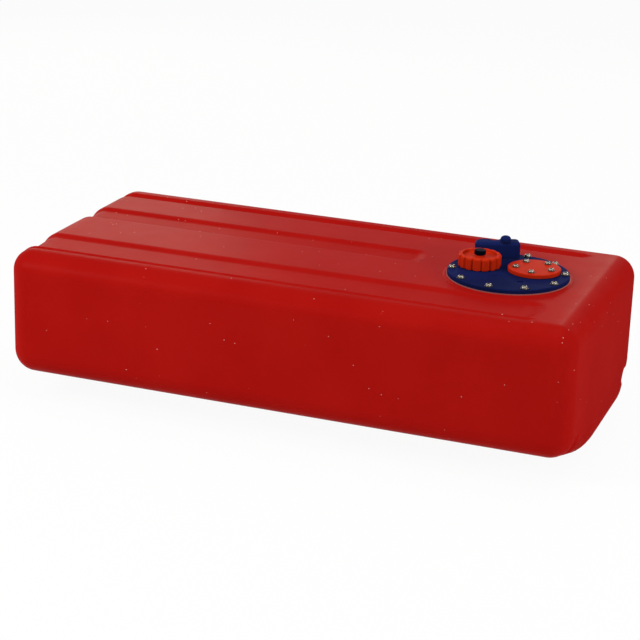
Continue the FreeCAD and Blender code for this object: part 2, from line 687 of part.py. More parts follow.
def hose_spigot():
    """The metal tube that the fuel hose is pushed on to."""
    root = spigot_root_start()
    face = root + OUTWARD * SPIGOT_ROOT_LENGTH
    total = SPIGOT_ROOT_LENGTH + SPIGOT_COLLAR_LENGTH + SPIGOT_LENGTH
    tube = Part.makeCylinder(SPIGOT_RADIUS, total, root, OUTWARD)
    tip = root + OUTWARD * total
    rim = [edge for edge in tube.Edges
           if edge.Length > SPIGOT_RADIUS and (edge.CenterOfMass - tip).Length < 1e-3]
    tube = tube.makeChamfer(SPIGOT_TIP_EDGE, rim)
    thread = Part.makeCylinder(SPIGOT_ROOT_RADIUS - THREAD_CLEARANCE,
                               SPIGOT_ROOT_LENGTH, root, OUTWARD)
    collar = Part.makeCylinder(SPIGOT_COLLAR_RADIUS, SPIGOT_COLLAR_LENGTH, face, OUTWARD)
    solid = joined([tube, thread, collar])
    bore_start = root - OUTWARD * BEYOND
    return solid.cut(Part.makeCylinder(SPIGOT_BORE, total + 2 * BEYOND, bore_start, OUTWARD))


def tube_top():
    """The height of the pick-up tube's upper end in its socket."""
    return PLATE_BOTTOM - TUBE_SOCKET_DEPTH + TUBE_ENGAGEMENT


def strainer_bottom():
    """The height of the strainer's foot above the inside of the keel."""
    return LOWEST_INSIDE + STRAINER_FLOOR_GAP


def tube_bottom():
    """The height of the pick-up tube's lower end inside the strainer."""
    return strainer_bottom() + STRAINER_LENGTH - STRAINER_SOCKET


def pickup_tube():
    """The tube that reaches down to the keel."""
    return ring(TUBE_RADIUS, TUBE_BORE, tube_bottom(), tube_top(), OUTLET)


def pickup_strainer():
    """The slotted cup on the foot of the pick-up tube."""
    bottom = strainer_bottom()
    top = bottom + STRAINER_LENGTH
    cup = disc(STRAINER_RADIUS, bottom, top, OUTLET)
    inside = disc(STRAINER_RADIUS - STRAINER_WALL, bottom + STRAINER_WALL,
                  tube_bottom(), OUTLET)
    cup = cup.cut(inside).cut(disc(TUBE_RADIUS, bottom + STRAINER_WALL, top + BEYOND, OUTLET))
    room = STRAINER_LENGTH - STRAINER_SOCKET - 2 * STRAINER_WALL
    pitch = room / STRAINER_ROWS
    slots = []
    for row in range(STRAINER_ROWS):
        low = bottom + STRAINER_WALL + pitch * (row + 0.5) - STRAINER_SLOT_HEIGHT / 2
        for i in range(STRAINER_SLOTS // 2):
            slot = Part.makeBox(2 * (STRAINER_RADIUS + BEYOND), STRAINER_SLOT_WIDTH,
                                STRAINER_SLOT_HEIGHT,
                                Vector(-STRAINER_RADIUS - BEYOND, -STRAINER_SLOT_WIDTH / 2, low))
            slot.rotate(Vector(0, 0, 0), UP, 360.0 * i / STRAINER_SLOTS)
            slot.translate(level(OUTLET, 0))
            slots.append(slot)
    return cut_all(cup, slots)


def flange_screws():
    """The screws round the flange, with their heads on washers."""
    seat = PLATE_TOP + FLANGE_WASHER_THICKNESS
    return [screw(place, seat, FLANGE_SCREW_RADIUS, FLANGE_SCREW_LENGTH,
                  FLANGE_HEAD_RADIUS, FLANGE_HEAD_HEIGHT) for place in FLANGE_SCREW_PLACES]


def flange_washers():
    """One washer under each flange screw."""
    return [washer(place, PLATE_TOP, FLANGE_WASHER_RADIUS, FLANGE_WASHER_THICKNESS,
                   FLANGE_SCREW_RADIUS + SCREW_CLEARANCE) for place in FLANGE_SCREW_PLACES]


def sender_cover_screws():
    """The screws of the sender cover."""
    seat = SENDER_SEAT + SENDER_COVER_THICKNESS + SENDER_WASHER_THICKNESS
    return [screw(place, seat, SENDER_SCREW_RADIUS, SENDER_SCREW_LENGTH,
                  SENDER_HEAD_RADIUS, SENDER_HEAD_HEIGHT) for place in SENDER_SCREW_PLACES]


def sender_cover_washers():
    """One washer under each sender cover screw."""
    seat = SENDER_SEAT + SENDER_COVER_THICKNESS
    return [washer(place, seat, SENDER_WASHER_RADIUS, SENDER_WASHER_THICKNESS,
                   SENDER_SCREW_RADIUS + SCREW_CLEARANCE) for place in SENDER_SCREW_PLACES]


def save(name, shape):
    """Write one node, a solid or a list of equal solids, to its own file."""
    if isinstance(shape, list):
        shape = Part.makeCompound(shape)
    shape.exportStep("parts/" + name + ".step")
    print(name, "solids", len(shape.Solids), "volume", round(shape.Volume, 1),
          "valid", shape.isValid())


save("tank_shell", tank_shell())
save("flange_inserts", inserts(FLANGE_SCREW_PLACES, FLANGE_INSERT_RADIUS,
                               FLANGE_INSERT_LENGTH, FLANGE_SCREW_RADIUS, BOSS_TOP))
save("flange_gasket", flange_gasket())
save("flange_plate", flange_plate())
save("flange_screws", flange_screws())
save("flange_washers", flange_washers())
save("sender_inserts", inserts(SENDER_SCREW_PLACES, SENDER_INSERT_RADIUS,
                               SENDER_INSERT_LENGTH, SENDER_SCREW_RADIUS, PLATE_TOP))
save("sender_cover_gasket", sender_cover_gasket())
save("sender_cover", sender_cover())
save("sender_cover_screws", sender_cover_screws())
save("sender_cover_washers", sender_cover_washers())
save("filler_cap_gasket", filler_cap_gasket())
save("filler_cap", filler_cap())
save("vent_seal", vent_seal())
save("vent_screw", vent_screw())
save("vent_clip", vent_clip())
save("housing_gasket", housing_gasket())
save("outlet_housing", outlet_housing())
save("housing_screws", housing_screws())
save("plug_seal", plug_seal())
save("housing_plug", housing_plug())
save("hose_spigot", hose_spigot())
save("pickup_tube", pickup_tube())
save("pickup_strainer", pickup_strainer())
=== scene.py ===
# %% [markdown]
# # An outboard fuel tank
# The tank is a long hollow red moulding with grooves along its top and a hull-shaped bottom.
# A round blue flange near one end carries a ribbed cap, a round cover with five screws and
# the block that the fuel hose goes on. The measured solids are loaded first, and they stay
# where they are. What follows gives them their finishes, and builds finer surfaces over the
# pieces whose looks need them.

import json
import math

import bpy
import numpy as np
from mathutils import Matrix, Vector


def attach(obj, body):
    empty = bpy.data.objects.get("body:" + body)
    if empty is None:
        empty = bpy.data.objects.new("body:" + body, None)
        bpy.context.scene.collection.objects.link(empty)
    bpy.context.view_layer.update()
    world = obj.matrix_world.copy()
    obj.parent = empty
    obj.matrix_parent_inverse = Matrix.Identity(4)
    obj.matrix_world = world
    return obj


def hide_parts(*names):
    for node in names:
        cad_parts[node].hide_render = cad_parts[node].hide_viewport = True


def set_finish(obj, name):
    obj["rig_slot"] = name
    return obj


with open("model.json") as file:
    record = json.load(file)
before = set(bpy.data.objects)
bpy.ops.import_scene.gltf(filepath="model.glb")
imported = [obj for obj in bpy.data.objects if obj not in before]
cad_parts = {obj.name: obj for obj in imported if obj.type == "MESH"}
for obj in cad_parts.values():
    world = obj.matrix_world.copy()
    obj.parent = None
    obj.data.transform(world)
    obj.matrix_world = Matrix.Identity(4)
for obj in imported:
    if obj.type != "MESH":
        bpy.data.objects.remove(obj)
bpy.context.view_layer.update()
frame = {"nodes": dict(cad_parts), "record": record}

# %% [markdown]
# ## From a grid of points to faces
# Every new piece here is worked out as rows of points. Each row is a closed loop, and the
# rows follow each other along the piece. Either the last row joins the first, as on a ring,
# or each end closes in a single point. The same shapes could be modelled by hand or with
# modifiers, but one formula fills the whole grid at once, so changing it changes the whole
# surface. The sign of the enclosed volume tells whether the faces look outwards.

# %% Faces of a grid
def grid_faces(rows, columns, ring):
    """Quads between neighbouring rows and columns; on a ring the last row meets the first."""
    last = rows if ring else rows - 1
    j, i = np.meshgrid(np.arange(last), np.arange(columns), indexing="ij")
    below, right = (j + 1) % rows, (i + 1) % columns
    quads = np.stack([j * columns + i, j * columns + right,
                      below * columns + right, below * columns + i], axis=-1)
    return quads.reshape(-1, 4)


def grid_skin(points, ring=False):
    """Vertices, quads and end triangles of a closed skin, facing outwards.
    points is rows x columns x 3 in millimetres."""
    rows, columns, _ = points.shape
    vertices = points.reshape(-1, 3)
    quads = grid_faces(rows, columns, ring)
    fans = np.empty((0, 3), int)
    if not ring:
        i = np.arange(columns)
        start, end = len(vertices), len(vertices) + 1
        vertices = np.vstack([vertices, points[0].mean(0), points[-1].mean(0)])
        first = np.stack([np.full(columns, start), (i + 1) % columns, i], axis=-1)
        tail = (rows - 1) * columns
        second = np.stack([np.full(columns, end), tail + i, tail + (i + 1) % columns], axis=-1)
        fans = np.vstack([first, second])
    corners = vertices[np.vstack([quads[:, [0, 1, 2]], quads[:, [0, 2, 3]], fans])]
    volume = np.einsum("ij,ij->i", corners[:, 0], np.cross(corners[:, 1], corners[:, 2])).sum()
    if volume < 0:
        quads, fans = quads[:, ::-1], fans[:, ::-1]
    return vertices, quads, fans


def closed_grid(points, ring=False):
    """Vertices and faces of a closed skin."""
    vertices, quads, fans = grid_skin(points, ring)
    return vertices, quads.tolist() + fans.tolist()


print("faces on a ring of 3 rows and 4 columns:", len(grid_faces(3, 4, ring=True)))

# %% [markdown]
# ## From faces to an object
# The skins of one piece go into one mesh. The formulas are in millimetres and the scene is
# in metres, so the points are scaled once, here. Smooth shading is right for moulded shapes,
# with sharp edges where two faces meet at more than a given angle. Each piece says which
# body of the part it moves with, which finish it takes and which solid it stands for.

# %% Make a piece
MM = 0.001


def make_piece(name, skins, body, slot, stands_for=(), sharp_angle=35.0):
    """One object from closed skins given in millimetres, riding on a body of the part."""
    vertices, faces, offset = [], [], 0
    for points, polygons in skins:
        vertices.append(points)
        faces += [[corner + offset for corner in polygon] for polygon in polygons]
        offset += len(points)
    mesh = bpy.data.meshes.new(name)
    mesh.from_pydata((np.vstack(vertices) * MM).tolist(), [], faces)
    mesh.polygons.foreach_set("use_smooth", np.ones(len(mesh.polygons), bool))
    mesh.set_sharp_from_angle(angle=math.radians(sharp_angle))
    mesh.update()
    piece = bpy.data.objects.new(name, mesh)
    bpy.context.scene.collection.objects.link(piece)
    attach(piece, body)
    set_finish(piece, slot)
    if stands_for:
        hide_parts(*stands_for)
    print(name, "vertices", len(mesh.vertices), "faces", len(mesh.polygons))
    return piece


# %% [markdown]
# ## The outline of the tank, cut across
# Cut across, the moulding has upright sides, a flat top and a bottom shaped like a boat's
# hull, so that it lies low in the bilge. It is a six-sided figure with rounded corners. A
# bevelled block would give the same outline, but the ends and the grooves are both made by
# moving points inwards, so each point is set down side by side with the direction that faces
# outwards. The points crowd together on the top, where the edges of the grooves will be.

# %% The section
SECTION_CORNERS = np.array([[-210.0, 234.0], [-210.0, 47.5], [-60.0, 0.0],
                            [162.0, 0.0], [210.0, 56.0], [210.0, 234.0]])
SECTION_RADII = [34.0, 38.0, 300.0, 60.0, 45.0, 34.0]
ARC_STEPS, ARC_LEAST = [4.5, 4.0, 8.0, 4.0, 4.0, 4.5], 5
RUN_STEPS = [14.0, 3.0, 20.0, 3.0, 14.0]
TOP_STEP, TOP_FINE_STEP, TOP_FINE_REACH = 5.0, 2.0, 5.0
SUM_STEPS = 4000
GROOVE_EDGES = [-168.0, -162.0, -108.0, -92.0, 10.0, 16.0, 58.0, 72.0, 144.0, 150.0, 168.0]


def crowded(start, end, coarse, places, fine, reach):
    """Numbers from start to end, coarse apart, and closer together round the given places.
    Their density is 1/coarse plus a bell curve at each place, and equal steps of its running
    sum give the numbers."""
    line = np.linspace(start, end, SUM_STEPS)
    density = np.full_like(line, 1.0 / coarse)
    for place in places:
        density += np.exp(-((line - place) / reach) ** 2) / fine
    total = np.concatenate([[0.0], np.cumsum((density[1:] + density[:-1]) / 2 * np.diff(line))])
    count = max(2, int(math.ceil(total[-1])) + 1)
    return np.interp(np.linspace(0.0, total[-1], count), total, line)


def corner_arc(before, corner, after, radius, step, least):
    """The arc that touches both sides of a corner: its points and its normals.
    Its centre halves the corner's angle, at radius / sin(half the angle) from the corner."""
    back, ahead = before - corner, after - corner
    back, ahead = back / np.linalg.norm(back), ahead / np.linalg.norm(ahead)
    half = math.acos(np.clip(back @ ahead, -1, 1)) / 2
    centre = corner + (back + ahead) / np.linalg.norm(back + ahead) * radius / math.sin(half)
    first = corner + back * radius / math.tan(half) - centre
    last = corner + ahead * radius / math.tan(half) - centre
    start = math.atan2(first[1], first[0])
    turn = (math.atan2(last[1], last[0]) - start + math.pi) % (2 * math.pi) - math.pi
    angles = start + np.linspace(0.0, turn, least + int(abs(turn) * radius / step))
    normals = np.stack([np.cos(angles), np.sin(angles)], axis=-1)
    return centre + radius * normals, normals


def rounded_section():
    """Arcs at the corners and straight runs between them: points (y, z) and outward normals."""
    before, after = np.roll(SECTION_CORNERS, 1, axis=0), np.roll(SECTION_CORNERS, -1, axis=0)
    arcs = [corner_arc(*corner, ARC_LEAST) for corner in
            zip(before, SECTION_CORNERS, after, SECTION_RADII, ARC_STEPS)]
    points, normals = [], []
    for k, (arc_points, arc_normals) in enumerate(arcs):
        start, end = arc_points[-1], arcs[(k + 1) % len(arcs)][0][0]
        if k == len(arcs) - 1:
            across = crowded(end[0], start[0], TOP_STEP, GROOVE_EDGES, TOP_FINE_STEP,
                             TOP_FINE_REACH)[::-1]
            share = (across - start[0]) / (end[0] - start[0])
        else:
            length = np.linalg.norm(end - start)
            share = np.linspace(0.0, 1.0, 2 + int(length / RUN_STEPS[k]))
        run = start + (end - start) * share[1:-1, None]
        points += [arc_points, run]
        normals += [arc_normals, np.repeat(arc_normals[-1:], len(run), axis=0)]
    return np.vstack(points), np.vstack(normals)


section, section_normals = rounded_section()
print("section points", len(section), "y", section[:, 0].min(), section[:, 0].max())

# %% [markdown]
# ## Grooves along the top
# The grooves stiffen the large flat top. On the real tank they are part of the mould. Each
# one drops steeply from its front edge and climbs slowly to the back, so light catches the
# front edge as a thin line. It runs out in a rounded tip on the right. Cutting bars out of the
# mesh would leave hard edges, so a groove is a depth here: its profile across the tank times a
# fade along it. A last fade keeps it clear of the rim that carries the flange.

# %% Depth of the top grooves
TOP_GROOVES = [  # front edge, valley, back edge, steep part at the back, tip, depth
    (-168.0, -161.0, -92.0, 15.0, 372.0, 6.0),
    (10.0, 17.0, 72.0, 14.0, 144.0, 6.0),
    (144.0, 150.0, 168.0, 8.0, 372.0, 5.5),
]
CLIMB_SHARE = 0.45
TIP_ROUNDING, TIP_FADE = 20.0, 20.0
FLANGE_X, FLANGE_Y = 283.0, 0.0
CLEAR_OF_FLANGE, FLANGE_FADE = 99.0, 16.0
FLAT_TOP = 0.9999


def smooth_step(value):
    """0 below 0, 1 above 1, and an easy S between."""
    t = np.clip(value, 0.0, 1.0)
    return t * t * (3.0 - 2.0 * t)


def groove_profile(y, front, valley, back, steep):
    """A steep drop from 0 to 1, a gentle climb from there, and a quicker one back to 0."""
    fall = smooth_step((y - front) / (valley - front))
    climb = CLIMB_SHARE * np.clip((y - valley) / (back - valley), 0, 1)
    lip = (1.0 - CLIMB_SHARE) * smooth_step((y - back + steep) / steep)
    return np.clip(fall * (1.0 - climb - lip), 0.0, 1.0)


def tip_fade(x, y, front, back, tip):
    """1 along the groove and 0 past its tip, whose end is round when seen from above."""
    across = np.clip(2 * (y - front) / (back - front) - 1, -1, 1)
    end = tip - TIP_ROUNDING * (1 - np.sqrt(1 - across ** 2))
    return 1.0 - smooth_step((x - end + TIP_FADE) / TIP_FADE)


def top_groove_depth(x, rolled):
    """Depth of all top grooves at each x and section point; rolled fades them on the ends."""
    y = section[:, 0]
    away = np.hypot(x[:, None] - FLANGE_X, y[None, :] - FLANGE_Y)
    clear = smooth_step((away - CLEAR_OF_FLANGE) / FLANGE_FADE)
    depth = np.zeros((len(x), len(section)))
    for front, valley, back, steep, tip, deep in TOP_GROOVES:
        across = deep * groove_profile(y, front, valley, back, steep)
        across *= section_normals[:, 1] > FLAT_TOP
        fade = tip_fade(x[:, None], y[None, :], front, back, tip) * clear
        depth += across[None, :] * fade * np.where(x[:, None] < 0, rolled, 1.0)
    return depth


print("groove depth at mid tank", top_groove_depth(np.zeros(1), np.ones((1, 1))).max())

# %% [markdown]
# ## The stepped front edge and the runners below
# In front of the first groove the top edge lies a little lower, which shows as a soft ridge
# along the tank. Low down, one round groove follows the bottom edge at the front and a larger
# one at the back, as if bars had been pressed into the mould. Each point near a bar moves
# inwards along its own normal to the bar's far wall, where a line crosses a circle.

# %% Depth of the ridge and the runners
RIDGE_DROP, RIDGE_EDGE, RIDGE_SOFTNESS, RIDGE_TIP = 2.5, -170.0, 4.0, 372.0
RIDGE_LEVEL, RIDGE_END_SHARE = 0.2, 1.4
RUNNERS = [  # centre (y, z), radius
    (-163.1, 23.2, 15.0),
    (199.7, 16.3, 26.0),
]
RUNNER_SOFTNESS = 3.0
END_RADIUS = 33.0


def ridge_depth(x, past_end):
    """Drop of the front edge: largest where the skin faces up, and gone at both ends."""
    y, up = section[:, 0], section_normals[:, 1]
    ridge = smooth_step((up - RIDGE_LEVEL) / (1.0 - RIDGE_LEVEL)) * (y < 0)
    ridge *= 1.0 - smooth_step((y - RIDGE_EDGE) / RIDGE_SOFTNESS)
    ends = 1.0 - smooth_step(past_end / (END_RADIUS * RIDGE_END_SHARE))[:, None]
    tip = 1.0 - smooth_step((x[:, None] - RIDGE_TIP + TIP_FADE) / TIP_FADE)
    return RIDGE_DROP * ridge[None, :] * ends * tip


def bar_depth(centre_y, centre_z, radius):
    """How far a section point moves inwards to reach the far wall of a round bar. With o the
    offset from the bar's axis and a its part along the normal, the way is a plus the root of
    a squared plus the radius squared minus o squared."""
    offset = section - np.array([centre_y, centre_z])
    along = np.einsum("ij,ij->i", offset, section_normals)
    inside = radius ** 2 - np.einsum("ij,ij->i", offset, offset)
    reach = np.sqrt(np.clip(along ** 2 + inside, 0, None))
    soft = smooth_step(inside / (radius * RUNNER_SOFTNESS))
    return np.where(inside > 0, along + reach, 0.0) * soft


print("runner depths", [round(float(bar_depth(*runner).max()), 2) for runner in RUNNERS])

# %% [markdown]
# ## The skin of the tank
# The outline runs along the tank, then shrinks as it turns over each end: at the turn t the
# skin has moved along by the radius times sin t, and in by the radius times 1 - cos t. The
# flat end closes in rings that shrink to a point. The grooves fade out on the ends. One call
# gives the outside, and a second one with an inset gives the inside of the wall.

# %% Tank skin
TANK_LENGTH = 870.0
LONG_STEP, LONG_FINE_STEP, LONG_FINE_REACH = 10.0, 3.5, 14.0
GROOVE_TIPS = [134.0, 362.0]
END_TURNS = np.linspace(0.0, math.pi / 2, 13)[1:]
END_RINGS = np.array([0.03, 0.07, 0.12, 0.2, 0.32, 0.5, 0.75])
RING_REACH = 170.0
ROLL_START, ROLL_FADE = 28.0, 36.0


def groove_depth(x, past_end):
    """Depth inwards at every grid point; past_end is the way along the rounded end."""
    rolled = 1.0 - smooth_step((past_end - ROLL_START) / ROLL_FADE)[:, None]
    depth = top_groove_depth(x, rolled) + ridge_depth(x, past_end)
    for runner in RUNNERS:
        depth += bar_depth(*runner)[None, :] * rolled
    return depth


def tank_skin(inset=0.0):
    """Place (x, y, z) on the skin for each step along the tank and round the section."""
    radius = END_RADIUS - inset
    half = TANK_LENGTH / 2 - END_RADIUS
    turns, rings = END_TURNS[::-1], np.ones(len(END_RINGS))
    straight = crowded(-half, half, LONG_STEP, GROOVE_TIPS, LONG_FINE_STEP, LONG_FINE_REACH)
    level = np.zeros(len(straight))
    left = np.concatenate([-half - radius * rings, -half - radius * np.sin(turns)])
    x = np.concatenate([left, straight, -left[::-1]])
    shrink = np.concatenate([radius * rings, radius * (1 - np.cos(turns))])
    shrink = np.concatenate([shrink, level, shrink[::-1]])
    lean = np.concatenate([math.pi / 2 * rings, turns])
    lean = np.concatenate([lean, level, lean[::-1]])
    ring = np.concatenate([END_RINGS[::-1], np.zeros(len(turns))])
    ring = np.concatenate([ring, level, ring[::-1]])
    outline = section - section_normals * inset
    base = outline[None] - section_normals[None] * shrink[:, None, None]
    closer = base + (outline.mean(0) - base) * ring[:, None, None]
    depth = groove_depth(x, END_RADIUS * lean + RING_REACH * ring)
    yz = closer - section_normals[None] * np.cos(lean)[:, None, None] * depth[..., None]
    along = x[:, None] - (np.sin(lean) * np.sign(x))[:, None] * depth
    return np.dstack([along, yz[..., 0], yz[..., 1]])


WALL = 5.0
outer_skin, inner_skin = tank_skin(), tank_skin(WALL)
print("tank skin rows and columns", outer_skin.shape[:2])

# %% [markdown]
# ## The opening under the flange
# The real tank is hollow, and open where the flange is screwed on. Thickening one skin with a
# modifier would also work, but both skins share one layout here, so the cells inside the
# opening are left out of both. Every edge that is then used by one face only lies on the rim
# of the opening, and gets a face down to the inner skin, which closes the wall.

# %% A wall between two skins
OPENING_RADIUS, OPENING_ABOVE = 86.0, 200.0


def hollow_grid(outer, inner, hole):
    """Vertices and faces of a wall between two skins, open where hole marks cells of both."""
    points, quads, fans = grid_skin(outer)
    lining = grid_skin(inner)[0]
    kept, total = quads[~hole.ravel()], len(points)
    edges = np.concatenate([np.stack([faces, np.roll(faces, -1, axis=1)], axis=-1).reshape(-1, 2)
                            for faces in (kept, fans)])
    forward, backward = edges[:, 0] * total + edges[:, 1], edges[:, 1] * total + edges[:, 0]
    rim = edges[~np.isin(forward, backward)]
    wall = np.stack([rim[:, 1], rim[:, 0], rim[:, 0] + total, rim[:, 1] + total], axis=-1)
    fours = np.vstack([kept, kept[:, ::-1] + total, wall])
    threes = np.vstack([fans, fans[:, ::-1] + total])
    used, places = np.unique(np.concatenate([fours.ravel(), threes.ravel()]), return_inverse=True)
    fours, threes = places[:fours.size].reshape(-1, 4), places[fours.size:].reshape(-1, 3)
    return np.vstack([points, lining])[used], fours.tolist() + threes.tolist()


def cells_inside(marked):
    """Cells of a grid whose four corners are all marked."""
    beside = np.roll(marked, -1, axis=1)
    return marked[:-1] & marked[1:] & beside[:-1] & beside[1:]


from_flange = np.hypot(outer_skin[..., 0] - FLANGE_X, outer_skin[..., 1] - FLANGE_Y)
hole = cells_inside((from_flange < OPENING_RADIUS) & (outer_skin[..., 2] > OPENING_ABOVE))
print("cells left out for the opening", int(hole.sum()))

# %% [markdown]
# ## The raised rim and the finished body
# A thick rim stands just above the top, carries the flange and hides the cut edge of the
# opening. Outside it slopes down in an easy S, as moulded plastic does, until it meets the
# top. Round shapes like this are turned, as on a lathe: a closed profile of radius and height
# is carried round an upright axis.

# %% Tank body
BOSS_FOOT, BOSS_EDGE, BOSS_LOW, BOSS_RISE = 98.8, 91.6, 233.6, 1.6
RIM_INSIDE, RIM_OUTSIDE, RIM_BOTTOM, RIM_LEDGE, RIM_TOP = 74.5, 92.0, 219.0, 231.5, 235.2
SLOPE_POINTS, RIM_STEPS = 16, 160


def lathe(profile, centre, steps, radius_of=None):
    """Carry a closed profile of (radius, height) round an upright axis.
    radius_of may change the radius with the angle, as for ribs."""
    angle = np.linspace(0.0, 2 * math.pi, steps, endpoint=False)
    radius = np.repeat(profile[:, :1], steps, axis=1)
    if radius_of is not None:
        radius = radius_of(radius, angle[None, :])
    height = np.repeat(profile[:, 1:], steps, axis=1)
    return np.dstack([centre[0] + radius * np.cos(angle), centre[1] + radius * np.sin(angle),
                      height])


boss_slope = np.linspace(BOSS_FOOT, BOSS_EDGE, SLOPE_POINTS)
boss_rise = BOSS_LOW + BOSS_RISE * smooth_step((BOSS_FOOT - boss_slope) / (BOSS_FOOT - BOSS_EDGE))
boss_profile = np.vstack([
    [(RIM_INSIDE, RIM_BOTTOM), (RIM_OUTSIDE, RIM_BOTTOM), (RIM_OUTSIDE, RIM_LEDGE),
     (BOSS_FOOT, RIM_LEDGE)],
    np.stack([boss_slope, boss_rise], axis=-1), [(RIM_INSIDE, RIM_TOP)]])
tank_body = make_piece(
    "tank_body", [hollow_grid(outer_skin, inner_skin, hole),
                  closed_grid(lathe(boss_profile, (FLANGE_X, FLANGE_Y), RIM_STEPS), ring=True)],
    "tank", "tank_red", ["tank_shell"], sharp_angle=50.0)

# %% [markdown]
# ## Rounded profiles
# The cap, the knob and the plug are turned pieces too, and moulded plastic has no sharp
# corner. A bevel modifier would round them, but rounding the profile itself gives each corner
# its own radius and no stray points. Long straight parts then get extra points, so that the
# shading stays even.

# %% Soften a profile
SOFT_STEP, SOFT_LEAST = 0.35, 3


def softened(corners, radii):
    """A closed (radius, height) profile whose corners are rounded by the given radii; a
    radius of 0 keeps the corner."""
    corners = np.array(corners, float)
    before, after = np.roll(corners, 1, axis=0), np.roll(corners, -1, axis=0)
    return np.vstack([corner_arc(*around, radius, SOFT_STEP, SOFT_LEAST)[0] if radius > 0
                      else around[1][None]
                      for *around, radius in zip(before, corners, after, radii)])


def along_profile(profile, longest):
    """Add points on long straight parts of a profile, so that shading stays even."""
    ahead = np.roll(profile, -1, axis=0)
    counts = np.maximum(1, (np.linalg.norm(ahead - profile, axis=1) / longest).astype(int))
    pieces = [profile[k] + (ahead[k] - profile[k]) * np.linspace(0, 1, n, endpoint=False)[:, None]
              for k, n in enumerate(counts)]
    return np.vstack(pieces)


print("points of a softened square", len(softened([(1, 0), (3, 0), (3, 2), (1, 2)], [0.5] * 4)))

# %% [markdown]
# ## The ribbed cap
# A hand grips the cap by fifteen broad ribs with narrow grooves between them. The top is
# sunk inside a raised rim, and a hub in the middle carries the vent. Grooves could be cut one
# by one and copied round, but a turned shape has a shorter way: the outside radius is lowered
# wherever a groove passes, by an easy S on each side of it.

# %% Filler cap
FILLER = (236.4, 7.4)
CAP_RADIUS, CAP_RIBS, CAP_RIB_START = 31.7, 15, math.radians(290.0)
CAP_GROOVE_REACH, CAP_GROOVE_DEPTH = 3.6, 2.8
GROOVES_FROM, GROOVES_FADE = 28.2, 1.6
CAP_BOTTOM, CAP_UNDERSIDE, CAP_FLOOR, CAP_RIM, HUB_TOP = 243.5, 253.4, 257.4, 261.4, 259.8
CAP_BORE, WELL_TOP_RADIUS, WELL_FLOOR_RADIUS = 25.7, 25.7, 25.2
HUB_FOOT_RADIUS, HUB_TOP_RADIUS, HUB_STEM_RADIUS = 7.6, 6.6, 6.5
HUB_BORE, HUB_BOTTOM = 3.05, 250.4
CAP_RIB_STEPS, CAP_LONGEST = 28, 2.5
cap_profile = softened(
    [(CAP_RADIUS, CAP_BOTTOM), (CAP_RADIUS, CAP_RIM), (WELL_TOP_RADIUS, CAP_RIM),
     (WELL_FLOOR_RADIUS, CAP_FLOOR), (HUB_FOOT_RADIUS, CAP_FLOOR), (HUB_TOP_RADIUS, HUB_TOP),
     (HUB_BORE, HUB_TOP), (HUB_BORE, HUB_BOTTOM), (HUB_STEM_RADIUS, HUB_BOTTOM),
     (HUB_STEM_RADIUS, CAP_UNDERSIDE), (CAP_BORE, CAP_UNDERSIDE), (CAP_BORE, CAP_BOTTOM)],
    [0.6, 2.8, 1.2, 1.2, 0.9, 0.5, 0, 0, 0, 0, 0.3, 0.3])


def cap_ribs(radius, angle):
    """Lower the outside where a groove passes, by an easy S each side of it. Nothing inside
    the radius where the grooves begin is touched."""
    pitch = 2 * math.pi / CAP_RIBS
    within = CAP_RADIUS * np.abs((angle - CAP_RIB_START + pitch / 2) % pitch - pitch / 2)
    dip = CAP_GROOVE_DEPTH * (1.0 - smooth_step(within / CAP_GROOVE_REACH))
    return radius - dip * smooth_step((radius - GROOVES_FROM) / GROOVES_FADE)


cap_grid = lathe(along_profile(cap_profile, CAP_LONGEST), FILLER, CAP_RIBS * CAP_RIB_STEPS,
                 cap_ribs)
filler_cap = make_piece("ribbed_cap", [closed_grid(cap_grid, ring=True)],
                        "filler_cap", "cap_red", ["filler_cap"], sharp_angle=40.0)

# %% [markdown]
# ## The thread on the neck
# When the cap is lifted, a ridge of the screw thread shows on the neck below it. It is a
# small flat-topped section carried along a helix: the height grows with the angle, by one
# pitch for each turn. A taper lets the ridge sink into the neck at both ends.

# %% Neck thread
NECK_RADIUS, THREAD_PITCH, THREAD_TURNS, THREAD_START = 24.5, 5.0, 1.15, 244.9
THREAD_TAPER, THREAD_STEPS = 0.5, 140
THREAD_SECTION = np.array([(-0.5, -1.1), (-0.5, 1.1), (0.0, 1.0), (0.95, 0.4), (0.95, -0.4),
                           (0.0, -1.0)])
winding = np.linspace(0.0, 2 * math.pi * THREAD_TURNS, THREAD_STEPS)
taper = smooth_step(winding / THREAD_TAPER) * smooth_step((winding[-1] - winding) / THREAD_TAPER)
out, up = THREAD_SECTION.T
ridge_out = NECK_RADIUS + out[None, :] * np.where(out > 0, taper[:, None], 1.0)
ridge_up = THREAD_START + THREAD_PITCH * winding[:, None] / (2 * math.pi) + up[None, :]
neck_thread = make_piece("neck_thread", [closed_grid(np.dstack([
    FILLER[0] + ridge_out * np.cos(winding)[:, None],
    FILLER[1] + ridge_out * np.sin(winding)[:, None], ridge_up]))], "tank", "flange_blue")

# %% [markdown]
# ## The vent knob
# A smooth dark knob sits in the middle of the cap, on a shank that reaches down through the
# hub. Turning it opens the vent. Its edges are softened more at the top, where fingers hold
# it, than at the foot.

